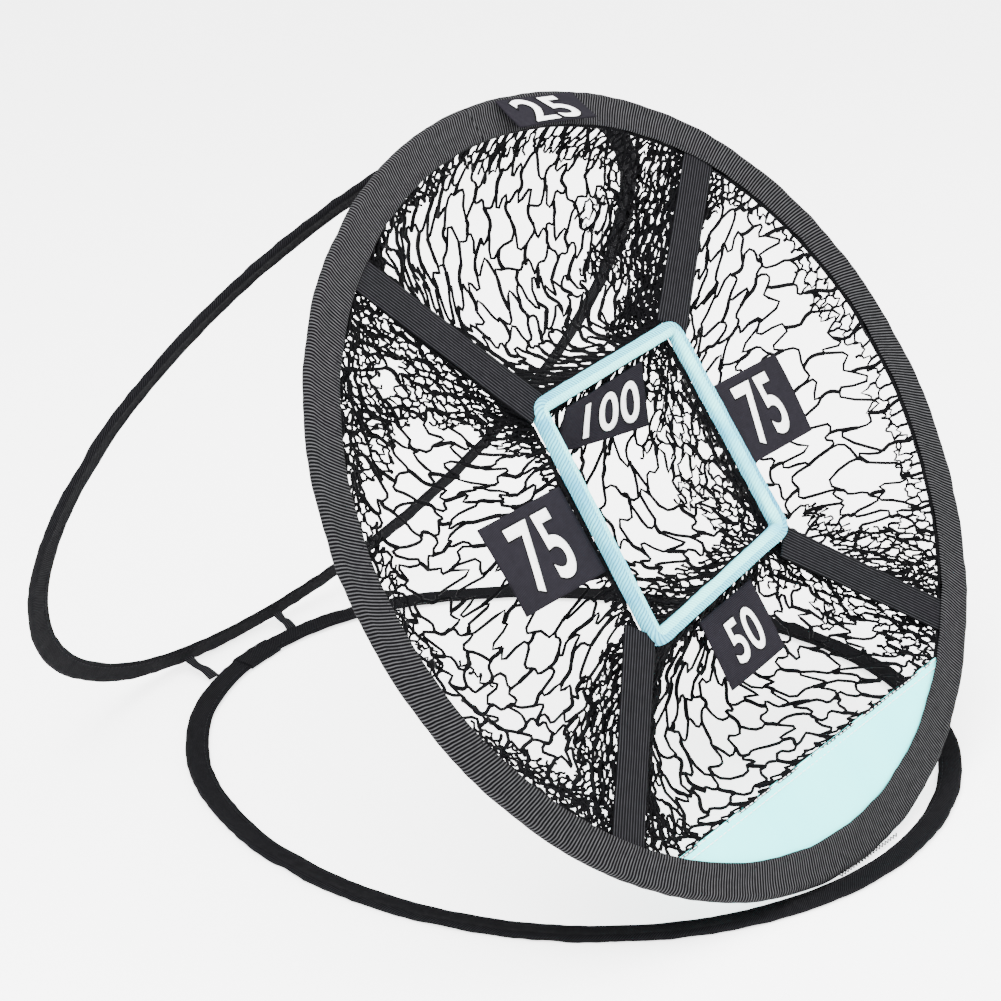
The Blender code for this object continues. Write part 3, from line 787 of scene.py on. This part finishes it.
def cord_runs(place, cells, powers, stir, seed, points, kept=None):
    """Every leg of a net as a run of points with its own slack bend. kept picks legs by their middle."""
    columns, rows_count = cells
    luck = random.Random(seed)
    spots = node_spots(columns, rows_count, luck)
    runs = []
    for a, b, kind in honeycomb(columns, rows_count):
        first, last = spots[a], spots[b]
        loose = 1.0 if kind == "leg" else 0.5
        bow, curl = luck.uniform(-0.40, 0.40) * loose, luck.uniform(-0.26, 0.26) * loose
        lift = luck.uniform(-0.0020, 0.0020)
        if kind == "border":
            bow = curl = 0
        if kept and (kind == "border" or not kept((first + last) / 2)):
            continue
        thick = {"leg": 1.0, "joint": JOINT_SHARE, "border": BORDER_SHARE}[kind]
        across = Vector(((first.y - last.y) * rows_count / columns,
                         (last.x - first.x) * columns / rows_count))
        run = []
        for k in range(points):
            g = k / (points - 1)
            spot = first.lerp(last, g) + across * (bow * sin(pi * g) + curl * sin(2 * pi * g))
            x, y = (min(max(share, 0), 1) for share in spot)
            spot = Vector((crowd(x, *powers[:2]), crowd(y, *powers[2:])))
            run.append((settle(place, spot, stir, seed, lift * sin(pi * g)), thick * luck.uniform(0.9, 1.1)))
        runs.append(run)
    return runs


def along_seams(bands, seed):
    """Says which spots lie in the gathered bands: (s = 0, s = 1, f = 0, f = 1), with ragged inner edges."""
    def kept(spot):
        s, f = spot
        reach = max((band - away) / band for band, away in zip(bands, (s, 1 - s, f, 1 - f)))
        return reach + 0.60 * noise.noise(Vector((s * 7, f * 7, seed))) > 0.15
    return kept


def add_net(side, place, cells, powers, fine_cells, bands, seed):
    """A bag of netting with its gathered edges, as one piece."""
    runs = cord_runs(place, cells, powers, NET_STIR, seed, NET_POINTS)
    gathers = cord_runs(place, fine_cells, (1, 1, 1, 1), GATHER_STIR, seed + 100, GATHER_POINTS,
                        along_seams(bands, seed))
    share = GATHER_RADIUS / CORD_RADIUS
    runs += [[(point, thick * share) for point, thick in run] for run in gathers]
    name = f"net_bag_{side}"
    piece = add_piece(name, tubes(name, runs, CORD_RADIUS), "target", NET_CORD,
                      [f"net_pocket_{side}"])
    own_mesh(piece)


# %% [markdown]
# ### The bags' surfaces
# An outer bag reaches from a bar of the square frame to the binding, between two straps. Its place is
# given by two shares: s along the bar and f from the bar to the binding. Both edges are held, and
# the middle hangs back by the bag's depth.

# %% Bags
POCKETS = {"top": (0.078, 0.010), "right": (0.080, 0.012), "bottom": (0.061, 0.008), "left": (0.060, 0.008)}
CENTRE_POCKET = (0.078, 0.012)
POCKET_FULLNESS = 0.7         # under 1 the bag's walls are steeper than a sine curve
PANEL_CHORD = (Vector((-0.179, -0.2295)), Vector((0.184, -0.2115)))
RIM_AT_FRAME, RIM_AT_HOOP = -0.0068, -0.0005
STRAP_HOLD = STRAP_WIDTH / 2 - 0.004
BAR_INSET = 0.04              # share of a bar left free at each end
UNDER_STRAP = 0.0020          # the net's side edges lie this far behind, under the straps


def bulge(f):
    return max(0.0, sin(pi * f)) ** POCKET_FULLNESS


def even_out(f):
    """Moves rows towards the seams, where the bag is steep, so that its cells keep their size."""
    return 0.45 * f + 0.55 * (0.5 - 0.5 * cos(pi * f))


def offset_corners(distance):
    """The frame's corners moved out by this much."""
    names = list(FRAME_CORNERS)
    moved = {}
    for index, name in enumerate(names):
        corner = Vector(FRAME_CORNERS[name])
        before = Vector(FRAME_CORNERS[names[index - 1]])
        after = Vector(FRAME_CORNERS[names[(index + 1) % 4]])
        first, second = (corner - before).normalized(), (after - corner).normalized()
        out_first, out_second = Vector((-first.y, first.x)), Vector((-second.y, second.x))
        middle = (out_first + out_second).normalized()
        moved[name] = corner + middle * distance / middle.dot(out_first)
    return moved


def sector_bag(side, first, second):
    """The surface of one of the four outer bags, from the frame (f = 0) to the binding (f = 1)."""
    depth, sag = POCKETS[side]
    inner = offset_corners(FRAME_HALF_WIDTH - 0.001)
    start, end = radians(STRAP_ANGLES[first]), radians(STRAP_ANGLES[second])
    if end < start:
        end += 2 * pi
    margin = asin(STRAP_HOLD / TARGET_HOOP["mean"])

    def place(s, f, crumple):
        s, f = even_out(s), even_out(f)
        t = start + margin + (end - start - 2 * margin) * s
        outer = hoop_point(TARGET_HOOP, t, -TAPE_WIDTH / 2 + 0.0012).to_2d()
        if side == "bottom":
            left, right = PANEL_CHORD
            share = (outer.x - left.x) / (right.x - left.x)
            outer.y = max(outer.y, left.y + (right.y - left.y) * share - 0.001)
        a, b = inner[first], inner[second]
        at = a.lerp(b, BAR_INSET + (1 - 2 * BAR_INSET) * s).lerp(outer, f)
        rim = RIM_AT_FRAME + (RIM_AT_HOOP - RIM_AT_FRAME) * f ** 3 - UNDER_STRAP * (2 * s - 1) ** 8
        swell = bulge(s) * bulge(f)
        return TARGET @ Vector((at.x, at.y - sag * swell, min(rim - depth * swell + crumple, rim)))

    return place


def centre_bag():
    """The surface of the bag behind the square frame, from its lower bar to its upper one."""
    depth, sag = CENTRE_POCKET
    corners = offset_corners(-FRAME_HALF_WIDTH + 0.001)

    def place(s, f, crumple):
        s, f = even_out(s), even_out(f)
        top = corners["upper_left"].lerp(corners["upper_right"], s)
        bottom = corners["lower_left"].lerp(corners["lower_right"], s)
        at = bottom.lerp(top, f)
        swell = bulge(s) * bulge(f)
        back = min(RIM_AT_FRAME - depth * swell + crumple, RIM_AT_FRAME)
        return TARGET @ Vector((at.x, at.y - sag * swell, back))

    return place


# %% Net pieces
# columns and rows, how hard each edge crowds, columns and rows of the gathers, their bands, and a seed
NETS = {
    "top": ((50, 10), (1.15, 1.25, 1.0, 1.0), (96, 26), (0.15, 0.27, 0.06, 0.12), 11),
    "right": ((36, 10), (1.1, 1.2, 1.05, 1.0), (92, 28), (0.10, 0.30, 0.07, 0.10), 23),
    "bottom": ((32, 9), (1.1, 1.15, 1.1, 1.0), (74, 22), (0.15, 0.18, 0.18, 0.06), 37),
    "left": ((38, 10), (1.1, 1.1, 1.0, 1.2), (96, 30), (0.17, 0.20, 0.06, 0.42), 41),
    "centre": ((20, 9), (1.0, 1.15, 1.05, 1.0), (44, 24), (0.07, 0.26, 0.22, 0.08), 53),
}
around = list(FRAME_CORNERS)
for index, (net_side, net_cut) in enumerate(NETS.items()):
    if net_side == "centre":
        add_net(net_side, centre_bag(), *net_cut)
    else:
        add_net(net_side, sector_bag(net_side, around[index], around[(index + 1) % 4]), *net_cut)

# %% [markdown]
# ## Front panel
# The bottom of the target is closed by a segment of pale cloth, hemmed along its straight edge and
# sewn under the binding along the curve. It is a taut sheet with faint ripples near its corners.

# %% Panel piece
PANEL_THICK = 0.0010
PANEL_STEPS_ALONG, PANEL_STEPS_DOWN, HEM_STEPS = 80, 24, 900
PANEL_ARC_IN = -TAPE_WIDTH / 2 + 0.0015


def chord_end(above):
    """The turn at which the chord goes under the binding, between the lowest point and one above it."""
    below, along = pi, PANEL_CHORD[1] - PANEL_CHORD[0]
    for _ in range(30):
        middle = (above + below) / 2
        spot = hoop_point(TARGET_HOOP, middle, PANEL_ARC_IN).to_2d() - PANEL_CHORD[0]
        if along.x * spot.y < along.y * spot.x:
            below = middle
        else:
            above = middle
    return below


CORNER_CUT = 0.012            # each sharp corner of the panel is cut off by this turn, in radians
left_turn, right_turn = chord_end(1.5 * pi) - CORNER_CUT, chord_end(0.5 * pi) + CORNER_CUT
corners = [hoop_point(TARGET_HOOP, turn, PANEL_ARC_IN).to_2d() for turn in (left_turn, right_turn)]
chord = (PANEL_CHORD[1] - PANEL_CHORD[0]).normalized()
top_left, top_right = (PANEL_CHORD[0] + chord * chord.dot(corner - PANEL_CHORD[0]) for corner in corners)


def panel_point(s, g):
    low = hoop_point(TARGET_HOOP, left_turn + (right_turn - left_turn) * s, PANEL_ARC_IN).to_2d()
    spot = top_left.lerp(top_right, s).lerp(low, g)
    ripple = 0.0012 * noise.noise(Vector((s * 7, g * 2.5, 1.5))) * sin(pi * min(1, g + 0.25))
    return TARGET @ Vector((spot.x, spot.y, ripple * sin(pi * s) ** 0.5))


rows = surface_rows(PANEL_STEPS_ALONG, PANEL_STEPS_DOWN, panel_point)
panel_mesh = cloth_grid("front_panel_cloth", rows)
panel = add_piece("front_panel_cloth", panel_mesh, "target", PANEL_CLOTH, ["front_panel"])
thicken(panel, PANEL_THICK)

# %% Panel hem
hem_runs = []
edge_line = [TARGET @ (top_left.lerp(top_right, k / HEM_STEPS)).to_3d() for k in range(HEM_STEPS + 1)]
down_chord = TARGET.to_3x3() @ Vector((0, -1, 0))
for drop in (0.0012, 0.0060):
    lifted = [point + down_chord * drop + target_normal * (PANEL_THICK / 2 + 0.0003) for point in edge_line]
    hem_runs += stitch_line(lifted, *HEM_STITCH, target_normal)
hem_mesh = tubes("panel_hem_stitches", hem_runs, 0.0004)
add_piece("panel_hem_stitches", hem_mesh, "target", PALE_THREAD)

# %% [markdown]
# ## Number tags
# Each tag is a doubled piece of charcoal cloth, sewn to the frame or the binding along one edge and
# free to flap. Its joint's axis is that edge, so the tag's own frame is read from the joint and the
# CAD plate. The scores are printed: a white number inside a thin black outline.


# %% Tag frames
def tag_frame(name):
    """A matrix with x along the sewn edge and y towards it, and the plate's width and height."""
    joint = next(j for j in frame["joints"] if j["child"] == f"{name}_body")
    pivot, along = Vector(joint["pos_m"]), Vector(joint["axis"]).normalized()
    points = [vertex.co for vertex in frame["nodes"][name].data.vertices]
    middle = sum(points, Vector()) / len(points)
    up = pivot - middle
    up = (up - along * up.dot(along)).normalized()
    front = along.cross(up)
    turn = Matrix((along, up, front)).transposed().to_4x4()
    place = Matrix.Translation(pivot) @ turn
    local = [place.inverted() @ point for point in points]
    wide = max(p.x for p in local) - min(p.x for p in local)
    return place, wide, -min(p.y for p in local)


def tag_point(place, wide, tall, x, y, lift, curl):
    """A point on a tag's surface. curl bends the free edge; its second value swings the left corner."""
    down = -y / tall
    left = (0.5 - x / wide) * down
    bend = curl[0] * down ** 2 + 0.0012 * sin(3.2 * x / wide + 1.1) * down - curl[1] * left
    return place @ Vector((x, y + 0.9 * curl[1] * left, bend + lift))


TAG_THICK = 0.0012
TAG_ROWS, TAG_COLUMNS = 24, 30
TAG_CURLS = {"tag_25": (0.0015, 0), "tag_50": (-0.0015, 0.001), "tag_75_left": (0.0018, -0.001),
             "tag_75_right": (-0.0012, 0.002), "tag_100": (0.0012, 0.014)}


def add_tag(name, curl):
    place, wide, tall = tag_frame(name)
    rows = surface_rows(TAG_ROWS, TAG_COLUMNS, lambda down, along: tag_point(
        place, wide, tall, wide * (along - 0.5), -tall * down, 0, curl))
    piece_name = f"{name}_cloth"
    mesh = cloth_grid(piece_name, rows)
    piece = add_piece(piece_name, mesh, f"{name}_body", TAG_CLOTH, [name])
    thicken(piece, TAG_THICK)


for tag_name, tag_curl in TAG_CURLS.items():
    add_tag(tag_name, tag_curl)


# %% Numbers
LETTER_FAT, LETTER_SPACING = 0.015, 1.08
CUT_PITCH, CUTS = 0.004, 12   # the numerals are cut this fine, with this many cuts on each side


def number_mesh(name, text, wide, tall, grow, turned, slant):
    """Flat numerals fitted into a box, cut into small faces so that they can follow the cloth."""
    letters = bpy.data.curves.new(name, "FONT")
    letters.body = text
    letters.align_x, letters.align_y = "CENTER", "CENTER"
    letters.offset = LETTER_FAT
    letters.space_character = LETTER_SPACING
    letters.shear = slant
    guide = bpy.data.objects.new(name, letters)
    mesh = bpy.data.meshes.new_from_object(guide)
    low = Vector([min(v.co[a] for v in mesh.vertices) for a in (0, 1)])
    high = Vector([max(v.co[a] for v in mesh.vertices) for a in (0, 1)])
    bpy.data.meshes.remove(mesh)
    letters.offset = LETTER_FAT + grow * (high.y - low.y) / tall
    mesh = bpy.data.meshes.new_from_object(guide)
    bpy.data.objects.remove(guide)
    for vertex in mesh.vertices:
        x = ((vertex.co.x - low.x) / (high.x - low.x) - 0.5) * wide
        y = ((vertex.co.y - low.y) / (high.y - low.y) - 0.5) * tall
        vertex.co = Matrix.Rotation(turned, 3, "Z") @ Vector((x, y, 0))
    builder = bmesh.new()
    builder.from_mesh(mesh)
    for axis in (Vector((1, 0, 0)), Vector((0, 1, 0))):
        for k in range(-CUTS, CUTS + 1):
            parts = builder.verts[:] + builder.edges[:] + builder.faces[:]
            bmesh.ops.bisect_plane(builder, geom=parts, plane_co=axis * k * CUT_PITCH, plane_no=axis)
    builder.to_mesh(mesh)
    builder.free()
    return mesh


# text, width and height of the number, its middle on the tag, its turn in degrees and its slant
NUMBERS = {
    "tag_25": ("25", 0.056, 0.026, (-0.001, -0.0150), 0, -0.30),
    "tag_50": ("50", 0.036, 0.033, (0.002, -0.029), 0, 0.0),
    "tag_75_left": ("75", 0.046, 0.050, (0.0, -0.042), 90, 0.0),
    "tag_75_right": ("75", 0.046, 0.048, (0.0, -0.044), -90, 0.0),
    "tag_100": ("100", 0.060, 0.034, (0.008, -0.026), 0, 0.0),
}
# how much wider than the number, how far above the tag, and the ink
PRINTS = {"outline": (0.0011, 0.0002, BLACK_PRINT), "number": (0.0, 0.0004, WHITE_PRINT)}


def add_number(name):
    text, wide, tall, middle, turned, slant = NUMBERS[name]
    place, tag_wide, tag_tall = tag_frame(name)
    curl = TAG_CURLS[name]
    for kind, (grow, lift, finish) in PRINTS.items():
        piece_name = f"{name}_{kind}"
        mesh = number_mesh(piece_name, text, wide, tall, grow, radians(turned), slant)
        for vertex in mesh.vertices:
            x, y = vertex.co.x + middle[0], vertex.co.y + middle[1]
            vertex.co = tag_point(place, tag_wide, tag_tall, x, y, TAG_THICK / 2 + lift, curl)
        piece = add_piece(piece_name, mesh, f"{name}_body", finish)
        thicken(piece, 0.0002, -1.0)


for tag_name in NUMBERS:
    add_number(tag_name)

# %% [markdown]
# ## Ties, seams and steel
# Two short ties hold the base and back hoops together at the rear, and thread joins the hoops to the
# target at the front and at the top. The wires and their ferrules are the CAD solids with a
# brushed steel finish.


# %% Ties
TIE_HALF_WIDTH, TIE_THICK = 0.005, 0.0012
TIE_ROWS, TIE_COLUMNS = 30, 8


def add_tie(name):
    """A strip between the two ends of its CAD solid."""
    points = [vertex.co.copy() for vertex in frame["nodes"][name].data.vertices]
    low_end = min(p.y for p in points)
    near = [p for p in points if p.y < low_end + 0.004]
    far = [p for p in points if p.y > max(q.y for q in points) - 0.004]
    start, end = sum(near, Vector()) / len(near), sum(far, Vector()) / len(far)

    def place(f, share):
        middle = start.lerp(end, f)
        middle.z += 0.0012 * sin(2 * pi * f) * sin(pi * f)
        twist = 0.12 * sin(2 * pi * f)
        across = Vector((cos(twist), 0, sin(twist)))
        return middle + across * TIE_HALF_WIDTH * (2 * share - 1) * (1 - 0.25 * sin(pi * f))

    mesh = cloth_grid(f"{name}_strip", surface_rows(TIE_ROWS, TIE_COLUMNS, place))
    tie = add_piece(f"{name}_strip", mesh, "base_hoop", STRAP_WEBBING, [name])
    thicken(tie, TIE_THICK)
    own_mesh(tie)
    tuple(start)


for tie_name in ("rear_tie_left", "rear_tie_right"):
    add_tie(tie_name)


# %% Seam threads
WHIP_STEPS, WHIP_RADIUS = 40, 0.0005


def whipped_seam(name, replaced, shift, across, droop=0.0):
    """Thread that goes round and round from one edge to the other, along the CAD seam."""
    low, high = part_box(replaced)
    middle = (low + high) / 2
    run = []
    for k in range(WHIP_STEPS + 1):
        share = k / WHIP_STEPS
        point = Vector((low.x + (high.x - low.x) * share, middle.y, middle.z)) + shift
        point -= target_up * droop * (2 * share - 1) ** 2
        run.append(point if k % 2 else point + across)
    add_piece(name, tubes(name, [run], WHIP_RADIUS), "target", DARK_THREAD, [replaced])


whipped_seam("front_seam_whipping", "front_seam_thread", Vector((0, -0.0007, -0.0006)),
             Vector((0, 0.0014, 0.0014)))
whipped_seam("top_seam_whipping", "top_seam_thread", Vector(), target_up * 0.0035, 0.0015)

# %% Steel pieces
for node_name, node in frame["nodes"].items():
    if node_name.endswith(("_wire", "_ferrule")):
        node.data.materials.clear()
        node.data.materials.append(SPRING_STEEL)

# %% Sizes
low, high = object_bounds()
print("visual size in mm:", [round(1000 * side, 1) for side in high - low])
